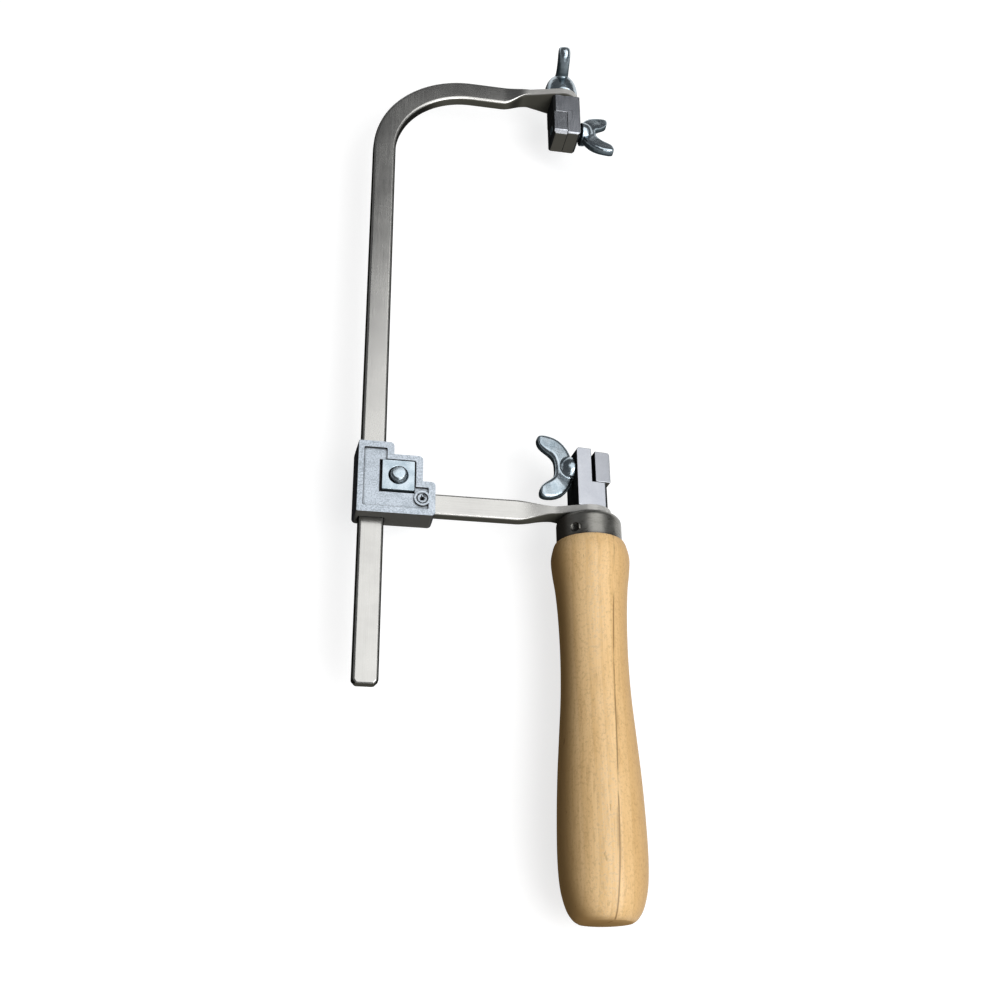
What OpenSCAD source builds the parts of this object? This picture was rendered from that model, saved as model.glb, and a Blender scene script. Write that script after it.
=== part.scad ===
// Adjustable fret saw frame, lying flat on its back: +Z is up, +Y runs from the handle to the
// upper arm, and +X runs from the spine to the blade line. The modules draw in the frame's own
// axes, with the spine on X = 0, the bracket's middle near Y = 0 and the bars' mid plane on
// Z = 0, and placed() sets them down on the floor, centred. Lengths are in millimetres.

/* [Bars] */
// Width of the flat bar that makes the spine and the upper arm
bar_w = 7.6; // [6:0.2:9]
// Width of the lower arm
arm_w = 6.9; // [6:0.1:7.4]
// Thickness of both bars
bar_t = 3.9; // [3:0.1:4.4]
// Radius of the bars' long edges
bar_edge_r = 0.8; // [0.3:0.1:1.2]
// Height of the upper arm's axis, at rest
arm_rise = 162; // [120:1:200]
// Distance of the lower arm's axis below Y = 0
arm_drop = 0.3; // [0:0.1:0.5]
// Length of the spine below Y = 0, at rest
tail_drop = 56.5; // [50:0.5:80]
// Bevel on the corners of the spine's lower end
tail_bevel = 1; // [0.5:0.1:1.6]
// Radius of the spine's bend, on the bar's centre line
bend_r = 30; // [16:1:34]
// Distance from the spine's axis to the upper stud
upper_reach = 62.8; // [60:0.1:100]
// Distance from the spine's axis to the handle's axis
lower_reach = 66.25; // [62:0.25:100]

/* [Forged arm ends] */
// Length of the forged run from the upper bar to its flat tongue
upper_forge_run = 10; // [6:0.5:11]
// Length of the forged run from the lower bar to its flat tongue
lower_forge_run = 12; // [6:0.5:13]
// Distance from the upper eye's centre back to the end of its run
upper_tongue_len = 11.8; // [10:0.1:14]
// Distance from the lower eye's centre back to the end of its run
lower_tongue_len = 10.8; // [10:0.1:14]
// Thickness of the tongue and its eye
tongue_t = 2.6; // [2.2:0.1:3.4]
// Width of the tongue where it starts
tongue_w = 7; // [5:0.2:8]
// Height of the upper tongue's mid plane above its arm's axis
upper_tongue_rise = 1.6; // [0:0.1:1.8]
// Height of the lower tongue's mid plane above its arm's axis
lower_tongue_rise = 0.2; // [0:0.1:1]
// Radius of the upper eye
upper_eye_r = 6.2; // [5.4:0.1:7]
// Radius of the lower eye
lower_eye_r = 7; // [5.6:0.1:8]

/* [Bracket] */
// Thickness of the bracket's wall outside the spine
spine_wall = 1.55; // [0.8:0.05:2]
// Height of the bracket's top above Y = 0
bracket_top = 17.15; // [16.5:0.05:20]
// Depth of the bracket's foot below Y = 0
bracket_foot = 6.05; // [5.2:0.05:7]
// Reach of the narrow top beyond the spine's axis
bracket_neck_x = 5.9; // [5:0.1:6.5]
// Reach of the nut's shoulder beyond the spine's axis
bracket_shoulder_x = 14.6; // [14:0.1:16]
// Height of the nut's shoulder above Y = 0
bracket_shoulder_y = 13.2; // [12.8:0.1:14]
// Reach of the foot beyond the spine's axis
bracket_foot_x = 18.4; // [17.8:0.1:22]
// Height of the foot above Y = 0
bracket_foot_y = 4.9; // [4.2:0.1:5.4]
// Thickness of the bracket's front wall, over the bars
front_wall = 3.9; // [3.7:0.1:5]
// Thickness of the bracket's back wall, under the bars
back_wall = 1.4; // [1:0.1:3]
// Draft that leans the side outside the spine toward the front face
cast_draft = 0.75; // [0.2:0.05:0.9]
// Radius of the casting's outer corners
cast_corner_r = 1.3; // [0.6:0.1:1.6]
// Width of the raised rim around the front face
rim_w = 2; // [1.6:0.1:2.4]
// Depth of the recessed field inside the rim
field_depth = 0.65; // [0.2:0.05:0.7]
// Radius of the field's corners
field_corner_r = 0.4; // [0.2:0.1:0.8]
// Width of the saw cut that lets the bracket close on the spine
slit_w = 1; // [0.6:0.1:1.6]
// Clearance between the spine and the bracket, on each side
slide_fit = 0.06; // [0.04:0.01:0.1]
// Distance of the clamp bolt's axis from the spine's axis
bolt_x = 7.3; // [7.2:0.1:7.6]
// Height of the clamp bolt's axis above Y = 0
bolt_y = 6.5; // [6.4:0.1:6.9]
// Distance of the arm's rivet from the spine's axis
rivet_x = 14.5; // [14:0.1:15.4]
// Depth of the rivet below Y = 0
rivet_drop = 0.6; // [0:0.1:0.8]
// Diameter of the rivet that holds the lower arm
rivet_d = 3.2; // [2:0.1:3.4]
// Diameter of the boss around the rivet
boss_d = 4.8; // [4.2:0.1:5.2]

/* [Threads and fasteners] */
// Thread diameter of the bracket bolt, the tension stud and the tang
m5_d = 5; // [4.6:0.1:5.2]
// Thread diameter of the two jaw screws
m4_d = 4; // [3:0.1:4.4]
// Clearance of a turning or sliding thread, on radius
thread_fit = 0.05; // [0.03:0.01:0.08]
// Clearance of a smooth bore around a shank, on radius
bore_fit = 0.08; // [0.05:0.01:0.1]
// Clearance of parts that are driven together, on each side
seat_fit = 0.02; // [0.01:0.01:0.04]
// Width of the square nut across its flats
nut_w = 9.7; // [9.4:0.1:10]
// Thickness of the square nut
nut_t = 2.7; // [2:0.1:2.8]
// Distance of the nut's face behind the rim of the bracket
nut_sink = 0.15; // [0:0.05:0.3]
// Gap between the nut and the sides of its pocket
pocket_gap = 0.45; // [0.2:0.05:0.5]
// Distance that the nut sits off its pocket's middle, away from the spine and the foot
pocket_shift = 0.3; // [0:0.05:0.35]
// Diameter of the washer under the bracket's wing screw
washer_d = 12; // [11:0.5:13]
// Thickness of that washer
washer_t = 1; // [0.6:0.1:1.5]
// Length by which the clamp bolt stands out of the nut
bolt_proud = 1.2; // [0.2:0.1:1.6]
// Chamfer of the square nut's thread
nut_bevel = 0.4; // [0.2:0.1:0.6]

/* [Wing heads] */
// Span of a jaw screw's wings
m4_span = 22.5; // [20:0.5:23]
// Height of a jaw screw's wings above its seat
m4_wing_h = 11; // [10:0.5:11.5]
// Diameter of a jaw screw's hub at its seat
m4_hub_d = 8.2; // [7.6:0.1:8.6]
// Height of a jaw screw's hub above its seat
m4_hub_h = 5.7; // [5:0.1:6.4]
// Span of the bracket screw's wings
bracket_span = 22; // [20:0.5:24]
// Height of the bracket screw's wings above its seat
bracket_wing_h = 11.5; // [10.5:0.5:13]
// Diameter of the bracket screw's hub at its seat
bracket_hub_d = 9.6; // [9:0.2:11]
// Height of the bracket screw's hub above its seat
bracket_hub_h = 6; // [5:0.1:6.8]
// Span of the tension nut's wings
nut_span = 28; // [24:0.5:30]
// Height of the tension nut's wings above its seat
nut_wing_h = 14.5; // [13:0.5:15]
// Diameter of the tension nut's hub at its seat
nut_hub_d = 11.4; // [10.8:0.2:12]
// Height of the tension nut's hub above its seat
nut_hub_h = 5.6; // [5.2:0.1:7]
// Length of a jaw screw's shank
m4_shank = 9.5; // [8.8:0.1:9.6]
// Distance of the upper jaw screw's hub from its jaw, at rest
upper_screw_gap = 1; // [0:0.1:1.5]
// Distance of the lower jaw screw's hub from its jaw, at rest
lower_screw_gap = 0; // [0:0.1:1]
// Turn of the lower jaw screw's wings from the frame's plane
lower_wing_turn = 5; // [-90:1:90]
// Turn of the upper jaw screw's wings from the frame's plane
upper_wing_turn = -20; // [-90:1:90]
// Turn of the tension nut's wings from the frame's plane
tension_wing_turn = 85; // [-90:1:90]
// Turn of the bracket screw's wings from the arms' direction
bracket_wing_turn = 15; // [-90:1:90]

/* [Blade clamps] */
// Width of a clamp block, from its jaw's back to its shelf's end
block_w = 9.6; // [9:0.1:11]
// Depth of a clamp block
block_d = 10.5; // [9:0.1:12]
// Thickness of the fixed jaw
jaw_t = 4.7; // [4:0.1:4.8]
// Thickness of the loose jaw plate
plate_t = 4.8; // [4:0.1:4.9]
// Height of the upper block's shelf
upper_shelf_h = 7.6; // [6.5:0.1:9]
// Height of the upper block's fixed jaw above the shelf
upper_jaw_h = 9.3; // [9:0.1:12]
// Height of the lower block's shelf
lower_shelf_h = 8.4; // [6.5:0.1:9]
// Height of the lower block's fixed jaw above the shelf
lower_jaw_h = 11.2; // [10:0.1:14]
// Height of the upper jaw plate
upper_plate_h = 9.2; // [7:0.1:9.2]
// Height of the lower jaw plate
lower_plate_h = 10.3; // [8:0.1:11]
// Height of the upper jaw screw above the shelf
upper_screw_rise = 4.7; // [4:0.1:5.4]
// Height of the lower jaw screw above the shelf
lower_screw_rise = 5.5; // [5:0.1:6]
// Opening of the lower jaws at rest
lower_jaw_gap = 1.1; // [0:0.1:2]
// Opening of the upper jaws at rest
upper_jaw_gap = 0; // [0:0.1:1]
// Distance of the upper jaws' meeting face beyond the tension stud's axis
upper_jaw_shift = 0.8; // [0:0.1:1]
// Turn of the lower clamp about the handle's axis
lower_clamp_turn = 5; // [-20:1:20]
// Clearance between a jaw plate and its shelf
shelf_gap = 0.08; // [0.02:0.01:0.1]
// Chamfer on the shelf's front corner
shelf_bevel = 1.2; // [0.5:0.1:1.6]
// Chamfer on the free end of the jaws
jaw_bevel = 0.6; // [0.2:0.1:1.2]
// Depth of the studs' sockets in the blocks
stud_depth = 5.5; // [4:0.1:5.8]
// Height of the tension stud above the upper eye
stud_proud = 5; // [4.2:0.1:5]

/* [Handle] */
// Length of the handle below the ferrule
handle_len = 108.9; // [95:0.1:120]
// Radius of the handle's belly
belly_r = 12.35; // [11.8:0.05:14]
// Radius of the ferrule
ferrule_r = 9.9; // [9.4:0.1:10]
// Height of the ferrule
ferrule_h = 8.6; // [6.5:0.1:10]
// Thickness of the ferrule's sheet
ferrule_t = 1; // [0.6:0.1:1.2]
// Radius of the ferrule's rounded shoulder
ferrule_shoulder_r = 2.2; // [1.5:0.1:2.4]
// Depth of the punch mark that locks the ferrule
punch_depth = 0.7; // [0.3:0.1:0.8]
// Radius of the punch mark
punch_r = 1.6; // [1:0.1:2]
// Length of the tang inside the handle
tang_len = 42; // [30:1:60]
// Length of the tang's point
tang_point = 8; // [5:1:12]

/* [Hidden] */
$fn = 96;
ear_facets = 28;
overrun = 0.4;
forge_steps = 8;
handle_steps = 5;
half_turn = 180;

// Shares that shape the forged wing heads
thread_core_share = 0.68;
wing_tip_share = 0.3;
wing_waist_share = 0.6;
wing_waist_rise_share = 0.62;
wing_waist_size_share = 0.8;
wing_flat_share = 0.76;
wing_root_share = 0.2;
paddle_share = 0.4;
paddle_edge_share = 0.5;
paddle_waist_share = 0.7;
// Each is the share of the hub's diameter out from its axis and of its height up
hub_shares = [[0, 0], [0.47, 0], [0.5, 0.06], [0.5, 0.18], [0.48, 0.38], [0.445, 0.58],
              [0.39, 0.78], [0.32, 0.93], [0.24, 1], [0, 1]];
// Share of the eye's radius that the tongue's sides reach at its centre
tongue_neck_share = 0.75;
// Each is the share of the handle's length down from the ferrule and of the belly's radius
handle_shares = [[0, 0.86], [0.012, 0.9], [0.043, 0.954], [0.085, 0.929], [0.137, 0.868],
                 [0.22, 0.818], [0.324, 0.797], [0.428, 0.818], [0.532, 0.881],
                 [0.636, 0.946], [0.74, 0.987], [0.844, 1], [0.916, 0.959], [0.965, 0.85],
                 [0.99, 0.72], [1, 0.6]];

// Places along the frame
bracket_left_x = bar_w / 2 + slide_fit + spine_wall;
bracket_front_z = bar_t / 2 + slide_fit + front_wall;
bracket_back_z = bar_t / 2 + slide_fit + back_wall;
arm_root_x = bar_w / 2 + slide_fit + bar_edge_r / 2;
lower_tongue_y = lower_tongue_rise - arm_drop;
upper_tongue_y = arm_rise + upper_tongue_rise;
lower_seat_y = lower_tongue_y + tongue_t / 2;
upper_seat_y = upper_tongue_y - tongue_t / 2;
nut_seat_y = upper_tongue_y + tongue_t / 2;
ferrule_top_y = lower_tongue_y - tongue_t / 2;
ferrule_rim_y = ferrule_top_y - ferrule_h;
butt_y = ferrule_rim_y - handle_len;
nut_front_z = bracket_front_z - nut_sink;
screw_seat_z = -bracket_back_z - washer_t;

// The object's outer bounds, which set it down on the floor
low_x = -bracket_left_x;
high_x = max(upper_reach + upper_jaw_shift + jaw_t + upper_screw_gap + m4_wing_h,
             lower_reach + belly_r);
low_y = butt_y;
high_y = nut_seat_y + nut_wing_h;
low_z = screw_seat_z - bracket_wing_h;
set_down = [-(low_x + high_x) / 2, -(low_y + high_y) / 2, -low_z];

module placed() {
    translate(set_down) children();
}

// A value that leaves a and reaches b with no kink, as u runs from 0 to 1
function blend(a, b, u) = a + (b - a) * (1 - cos(half_turn * u)) / 2;

// A smooth curve through a row of points, between points i and i + 1
function through(p, i, u) =
    let (a = p[max(i - 1, 0)], b = p[i], c = p[i + 1], d = p[min(i + 2, len(p) - 1)])
        (2 * b + (c - a) * u + (2 * a - 5 * b + 4 * c - d) * u * u
            + (3 * b - a - 3 * c + d) * u * u * u) / 2;

// A rectangle with true round corners
module rounded_rect(w, h, r) {
    square([w - 2 * r, h], center = true);
    square([w, h - 2 * r], center = true);
    for (x = [-1, 1], y = [-1, 1])
        translate([x * (w / 2 - r), y * (h / 2 - r)]) circle(r = r);
}

// The same rectangle, given by its left, right, lower and upper sides
module rounded_box(left, right, low, high, r) {
    translate([(left + right) / 2, (low + high) / 2]) rounded_rect(right - left, high - low, r);
}

// A core inside two runs of bar that meet on X = 0, which joins them at every size
module run_join(width) {
    translate([-overrun, overrun - width / 2, overrun - bar_t / 2])
        cube([2 * overrun, width - 2 * overrun, bar_t - 2 * overrun]);
}

// A straight stretch of bar along X, its width on Y
module bar_run(width, len) {
    rotate([90, 0, 90]) linear_extrude(len) rounded_rect(width, bar_t, bar_edge_r);
}

// The side of a forged end: the bar's width falls to the tongue, whose mid plane is set off
module forged_side(width, start, run, reach, rise, eye_r) {
    top = [for (i = [0:forge_steps]) [start + run * i / forge_steps,
        blend(width / 2, rise + tongue_t / 2, i / forge_steps)]];
    low = [for (i = [forge_steps:-1:0]) [start + run * i / forge_steps,
        blend(-width / 2, rise - tongue_t / 2, i / forge_steps)]];
    end = reach + eye_r + overrun;
    polygon(concat(top, [[end, rise + tongue_t / 2], [end, rise - tongue_t / 2]], low));
}

// The plan of a forged end: the bar's thickness spreads to the tongue, which ends in the eye
module forged_plan(start, run, reach, eye_r) {
    near = [for (i = [0:forge_steps]) [start + run * i / forge_steps,
        blend(bar_t, tongue_w, i / forge_steps) / 2]];
    far = [for (i = [forge_steps:-1:0]) [start + run * i / forge_steps,
        -blend(bar_t, tongue_w, i / forge_steps) / 2]];
    neck = eye_r * tongue_neck_share;
    polygon(concat(near, [[reach, neck], [reach, -neck]], far));
    translate([reach, 0]) circle(r = eye_r);
}

// A forged arm end in its arm's own axes, bored for a stud
module forged_end(width, start, run, reach, rise, eye_r) {
    difference() {
        intersection() {
            translate([0, 0, -eye_r - overrun])
                linear_extrude(2 * (eye_r + overrun)) forged_side(width, start, run, reach, rise, eye_r);
            rotate([90, 0, 0]) translate([0, 0, -width / 2])
                linear_extrude(width) forged_plan(start, run, reach, eye_r);
        }
        translate([reach, 0, 0]) rotate([90, 0, 0])
            cylinder(r = m5_d / 2 + bore_fit, h = 2 * width, center = true);
    }
}

// One piece of bar: the tail, the spine, the bend and the upper arm with its forged eye
module spine_bar() {
    straight_end = arm_rise - bend_r;
    forge_start = upper_reach - upper_tongue_len - upper_forge_run;
    arm_len = forge_start - bend_r;
    color("Silver") placed() {
        difference() {
            translate([0, -tail_drop, 0]) rotate([0, 0, 90])
                bar_run(bar_w, straight_end + tail_drop);
            for (x = [-1, 1])
                translate([x * bar_w / 2, -tail_drop, 0]) rotate([0, 0, 45])
                    cube([tail_bevel * sqrt(2), tail_bevel * sqrt(2), 2 * bar_t], center = true);
        }
        translate([bend_r, straight_end, 0]) rotate([0, 0, 90])
            rotate_extrude(angle = 90) translate([bend_r, 0]) rounded_rect(bar_w, bar_t, bar_edge_r);
        translate([0, straight_end, 0]) rotate([0, 0, 90]) run_join(bar_w);
        translate([bend_r, arm_rise, 0]) {
            bar_run(bar_w, arm_len);
            run_join(bar_w);
            translate([arm_len, 0, 0]) run_join(bar_w);
        }
        translate([0, arm_rise, 0])
            forged_end(bar_w, forge_start, upper_forge_run, upper_reach, upper_tongue_rise, upper_eye_r);
    }
}

// The fixed arm, from its root in the bracket to its forged eye over the ferrule
module lower_arm() {
    forge_start = lower_reach - lower_tongue_len - lower_forge_run;
    arm_len = forge_start - arm_root_x;
    color("Silver") placed() difference() {
        translate([0, -arm_drop, 0]) {
            translate([arm_root_x, 0, 0]) {
                bar_run(arm_w, arm_len);
                translate([arm_len, 0, 0]) run_join(arm_w);
            }
            forged_end(arm_w, forge_start, lower_forge_run, lower_reach, lower_tongue_rise, lower_eye_r);
        }
        translate([rivet_x, -rivet_drop, 0])
            cylinder(d = rivet_d + 2 * seat_fit, h = 2 * bar_t, center = true);
    }
}

// The bracket's stepped outline, taken in by a margin on every side and by the draft on the left
module bracket_outline(margin, draft, r) {
    left = -bracket_left_x + margin + draft;
    low = -bracket_foot + margin;
    rounded_box(left, bracket_neck_x - margin, low, bracket_top - margin, r);
    rounded_box(left, bracket_shoulder_x - margin, low, bracket_shoulder_y - margin, r);
    rounded_box(left, bracket_foot_x - margin, low, bracket_foot_y - margin, r);
}

// The die casting: it slides on the spine, holds the lower arm and carries the square nut
module bracket_body() {
    slot_w = bar_w + 2 * slide_fit;
    slot_t = bar_t + 2 * slide_fit;
    socket_w = arm_w + 2 * seat_fit;
    socket_t = bar_t + 2 * seat_fit;
    pocket_w = nut_w + 2 * pocket_gap;
    pocket_z = nut_front_z - nut_t;
    color("LightSteelBlue") placed() difference() {
        translate([0, 0, -bracket_back_z])
            linear_extrude(bracket_front_z + bracket_back_z) bracket_outline(0, 0, cast_corner_r);
        // Recessed field, with the rivet's boss left standing
        translate([0, 0, bracket_front_z - field_depth])
            linear_extrude(field_depth + overrun) difference() {
                bracket_outline(rim_w, cast_draft / 2, field_corner_r);
                translate([rivet_x, -rivet_drop]) circle(d = boss_d);
            }
        // Draft of the side outside the spine
        translate([-bracket_left_x, bracket_top + overrun, 0]) rotate([90, 0, 0])
            linear_extrude(bracket_top + bracket_foot + 2 * overrun) polygon([
                [0, -bracket_back_z], [cast_draft, bracket_front_z],
                [cast_draft, bracket_front_z + overrun], [-overrun, bracket_front_z + overrun],
                [-overrun, -bracket_back_z]]);
        // Slot for the spine, straight through
        translate([-slot_w / 2, -bracket_foot - overrun, -slot_t / 2])
            cube([slot_w, bracket_top + bracket_foot + 2 * overrun, slot_t]);
        // Socket for the lower arm, from the spine's slot to the foot's end
        translate([0, -arm_drop - socket_w / 2, -socket_t / 2])
            cube([bracket_foot_x + overrun, socket_w, socket_t]);
        // Saw cut from the slot through both clamping walls
        translate([0, 0, -slit_w / 2])
            cube([bracket_shoulder_x + overrun, bracket_top + overrun, slit_w]);
        // Pocket that keeps the nut from turning
        translate([bolt_x - pocket_shift - pocket_w / 2, bolt_y - pocket_shift - pocket_w / 2, pocket_z])
            cube([pocket_w, pocket_w, nut_t + nut_sink + overrun]);
        translate([bolt_x, bolt_y, 0])
            cylinder(r = m5_d / 2 + bore_fit, h = 3 * bracket_front_z, center = true);
        translate([rivet_x, -rivet_drop, 0])
            cylinder(d = rivet_d + 2 * seat_fit, h = 3 * bracket_front_z, center = true);
    }
}

// The rivet through the casting and the lower arm, its upset end hollow
module arm_rivet() {
    top_z = bracket_front_z - nut_sink;
    dish = rivet_d / 4;
    color("Gainsboro") placed() translate([rivet_x, -rivet_drop, 0]) difference() {
        translate([0, 0, -bracket_back_z]) cylinder(d = rivet_d, h = top_z + bracket_back_z);
        translate([0, 0, top_z - dish]) cylinder(d1 = 0, d2 = 4 * dish, h = 2 * dish);
    }
}

module bracket_nut() {
    thread_r = m5_d / 2 + thread_fit;
    color("PaleTurquoise") placed() translate([bolt_x, bolt_y, nut_front_z - nut_t]) difference() {
        translate([-nut_w / 2, -nut_w / 2, 0]) cube([nut_w, nut_w, nut_t]);
        translate([0, 0, -overrun]) cylinder(r = thread_r, h = nut_t + 2 * overrun);
        translate([0, 0, nut_t - nut_bevel])
            cylinder(r1 = thread_r, r2 = thread_r + 2 * nut_bevel, h = 2 * nut_bevel);
    }
}

module bracket_washer() {
    color("Gainsboro") placed() translate([bolt_x, bolt_y, screw_seat_z]) difference() {
        cylinder(d = washer_d, h = washer_t);
        translate([0, 0, -overrun])
            cylinder(r = m5_d / 2 + bore_fit, h = washer_t + 2 * overrun);
    }
}

// A threaded shank below its seat, with a chamfered end
module shank(d, len) {
    bevel = d * (1 - thread_core_share) / 2;
    translate([0, 0, bevel - len]) cylinder(d = d, h = len - bevel);
    translate([0, 0, -len]) cylinder(d1 = d * thread_core_share, d2 = d, h = bevel);
}

// A disc of an ear, its axis across the wings
module ear_disc(x, z, r, t) {
    translate([x, 0, z]) rotate([90, 0, 0])
        cylinder(r = r, h = t, center = true, $fn = ear_facets);
}

// A forged wing head on its seat: a barrel hub, and two paddles that spring from its sides
module wing_head(hub_d, hub_h, span, height) {
    tip_r = height * wing_tip_share;
    tip_x = span / 2 - tip_r;
    tip_z = height - tip_r;
    waist_r = tip_r * wing_waist_size_share;
    waist_x = tip_x * wing_waist_share;
    waist_z = tip_z * wing_waist_rise_share;
    paddle_t = hub_d * paddle_share;
    root_x = hub_d * wing_root_share;
    rotate_extrude() polygon([for (s = hub_shares) [s[0] * hub_d, s[1] * hub_h]]);
    for (side = [-1, 1]) {
        hull() {
            ear_disc(side * tip_x, tip_z, tip_r, paddle_t * paddle_edge_share);
            ear_disc(side * tip_x, tip_z, tip_r * wing_flat_share, paddle_t);
            ear_disc(side * waist_x, waist_z, waist_r, paddle_t * paddle_edge_share);
        }
        hull() {
            ear_disc(side * waist_x, waist_z, waist_r, paddle_t * paddle_waist_share);
            ear_disc(side * root_x, hub_h / 2, hub_h / 3, hub_d * paddle_waist_share);
        }
    }
}

module bracket_wing_screw() {
    color("LightBlue") placed() translate([bolt_x, bolt_y, screw_seat_z])
        rotate([half_turn, 0, 0]) rotate([0, 0, bracket_wing_turn]) {
            wing_head(bracket_hub_d, bracket_hub_h, bracket_span, bracket_wing_h);
            shank(m5_d, nut_front_z + bolt_proud - screw_seat_z);
        }
}

module tension_wing_nut() {
    color("LightBlue") placed() translate([upper_reach, nut_seat_y, 0]) rotate([-90, 0, 0])
        rotate([0, 0, tension_wing_turn]) difference() {
            wing_head(nut_hub_d, nut_hub_h, nut_span, nut_wing_h);
            translate([0, 0, -overrun])
                cylinder(r = m5_d / 2 + thread_fit, h = nut_wing_h + overrun);
        }
}

// The stud that hangs the upper clamp from the arm's eye
module tension_stud() {
    color("Gainsboro") placed() translate([upper_reach, upper_seat_y - stud_depth, 0])
        rotate([90, 0, 0]) shank(m5_d, stud_depth + tongue_t + stud_proud);
}

// A bevel along Z, on the edge at the given corner
module edge_bevel(x, y, size, len) {
    translate([x, y, 0]) rotate([0, 0, 45])
        cube([size * sqrt(2), size * sqrt(2), len], center = true);
}

// A blade clamp block in its own axes: its base on Y = 0, its shelf, its fixed jaw on the -X
// side with the gripping face on X = 0, and the socket of its stud beside that face
module clamp_block(shelf_h, jaw_h, screw_rise, stud_x) {
    difference() {
        translate([0, 0, -block_d / 2]) linear_extrude(block_d) polygon([
            [-jaw_t, 0], [block_w - jaw_t, 0], [block_w - jaw_t, shelf_h], [0, shelf_h],
            [0, shelf_h + jaw_h], [-jaw_t, shelf_h + jaw_h]]);
        translate([block_w - jaw_t, shelf_h / 2, block_d / 2]) rotate([0, 45, 0])
            cube([shelf_bevel, shelf_h + 2 * overrun, shelf_bevel], center = true);
        edge_bevel(-jaw_t, shelf_h + jaw_h, jaw_bevel, block_d + overrun);
        translate([stud_x, 0, 0]) rotate([90, 0, 0]) translate([0, 0, -stud_depth])
            cylinder(r = m5_d / 2 + seat_fit, h = stud_depth + overrun);
        translate([-jaw_t - overrun, shelf_h + screw_rise, 0]) rotate([0, 90, 0])
            cylinder(r = m4_d / 2 + bore_fit, h = jaw_t + 2 * overrun);
    }
}

// A jaw plate in the same axes, threaded for its screw
module jaw_plate(shelf_h, plate_h, screw_rise, gap) {
    low = shelf_h + shelf_gap;
    difference() {
        translate([gap, low, -block_d / 2]) cube([plate_t, plate_h, block_d]);
        edge_bevel(gap + plate_t, low + plate_h, jaw_bevel, block_d + overrun);
        translate([gap - overrun, shelf_h + screw_rise, 0]) rotate([0, 90, 0])
            cylinder(r = m4_d / 2 + thread_fit, h = plate_t + 2 * overrun);
    }
}

// A jaw screw in the same axes, its wings outside the fixed jaw
module jaw_screw(shelf_h, screw_rise, gap, turn) {
    translate([-jaw_t - gap, shelf_h + screw_rise, 0])
        rotate([0, -90, 0]) rotate([0, 0, 90 + turn]) {
            wing_head(m4_hub_d, m4_hub_h, m4_span, m4_wing_h);
            shank(m4_d, m4_shank + gap);
        }
}

module at_lower_clamp() {
    placed() translate([lower_reach, lower_seat_y, 0]) rotate([0, lower_clamp_turn, 0]) children();
}

// The upper clamp is turned half round, so that it hangs from its arm
module at_upper_clamp() {
    placed() translate([upper_reach + upper_jaw_shift, upper_seat_y, 0])
        rotate([0, 0, half_turn]) children();
}

module upper_clamp_block() {
    color("DarkGray") at_upper_clamp()
        clamp_block(upper_shelf_h, upper_jaw_h, upper_screw_rise, upper_jaw_shift);
}

module upper_jaw_plate() {
    color("LightGray") at_upper_clamp()
        jaw_plate(upper_shelf_h, upper_plate_h, upper_screw_rise, upper_jaw_gap);
}

module upper_wing_screw() {
    color("LightBlue") at_upper_clamp()
        jaw_screw(upper_shelf_h, upper_screw_rise, upper_screw_gap, upper_wing_turn);
}

module lower_clamp_block() {
    color("DarkGray") at_lower_clamp()
        clamp_block(lower_shelf_h, lower_jaw_h, lower_screw_rise, 0);
}

module lower_jaw_plate() {
    color("LightGray") at_lower_clamp()
        jaw_plate(lower_shelf_h, lower_plate_h, lower_screw_rise, lower_jaw_gap);
}

module lower_wing_screw() {
    color("LightBlue") at_lower_clamp()
        jaw_screw(lower_shelf_h, lower_screw_rise, lower_screw_gap, lower_wing_turn);
}

// Turns a profile about the handle's axis: X is the radius and Y the depth below Y = 0
module handle_turned() {
    placed() translate([lower_reach, 0, 0]) rotate([90, 0, 0]) rotate_extrude() children();
}

// The upper end of a turned part: a disc with a rounded shoulder, from a depth downward
module turned_cap(r, shoulder_r, depth, height) {
    translate([0, depth + shoulder_r]) square([r, height - shoulder_r]);
    translate([0, depth]) square([r - shoulder_r, height]);
    intersection() {
        translate([r - shoulder_r, depth + shoulder_r]) circle(r = shoulder_r);
        translate([0, depth]) square([r, height]);
    }
}

// The tang: from the lower block, through the eye and the ferrule, to a point in the wood
module handle_tang() {
    top = -lower_seat_y - stud_depth;
    tip = -ferrule_rim_y + tang_len;
    color("Gray") handle_turned()
        polygon([[0, top], [m5_d / 2, top], [m5_d / 2, tip - tang_point], [0, tip]]);
}

// A drawn steel cup with a punched lock
module ferrule() {
    inner_r = ferrule_r - ferrule_t;
    inner_shoulder_r = ferrule_shoulder_r - ferrule_t;
    top = -ferrule_top_y;
    color("DimGray") difference() {
        handle_turned() difference() {
            turned_cap(ferrule_r, ferrule_shoulder_r, top, ferrule_h);
            turned_cap(inner_r, inner_shoulder_r, top + ferrule_t, ferrule_h);
            translate([0, top - overrun]) square([m5_d / 2 + bore_fit, ferrule_h]);
        }
        placed() translate([lower_reach, (ferrule_top_y + ferrule_rim_y) / 2, 0])
            rotate([0, -35, 0]) translate([0, 0, ferrule_r + punch_r - punch_depth])
                sphere(r = punch_r);
    }
}

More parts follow.
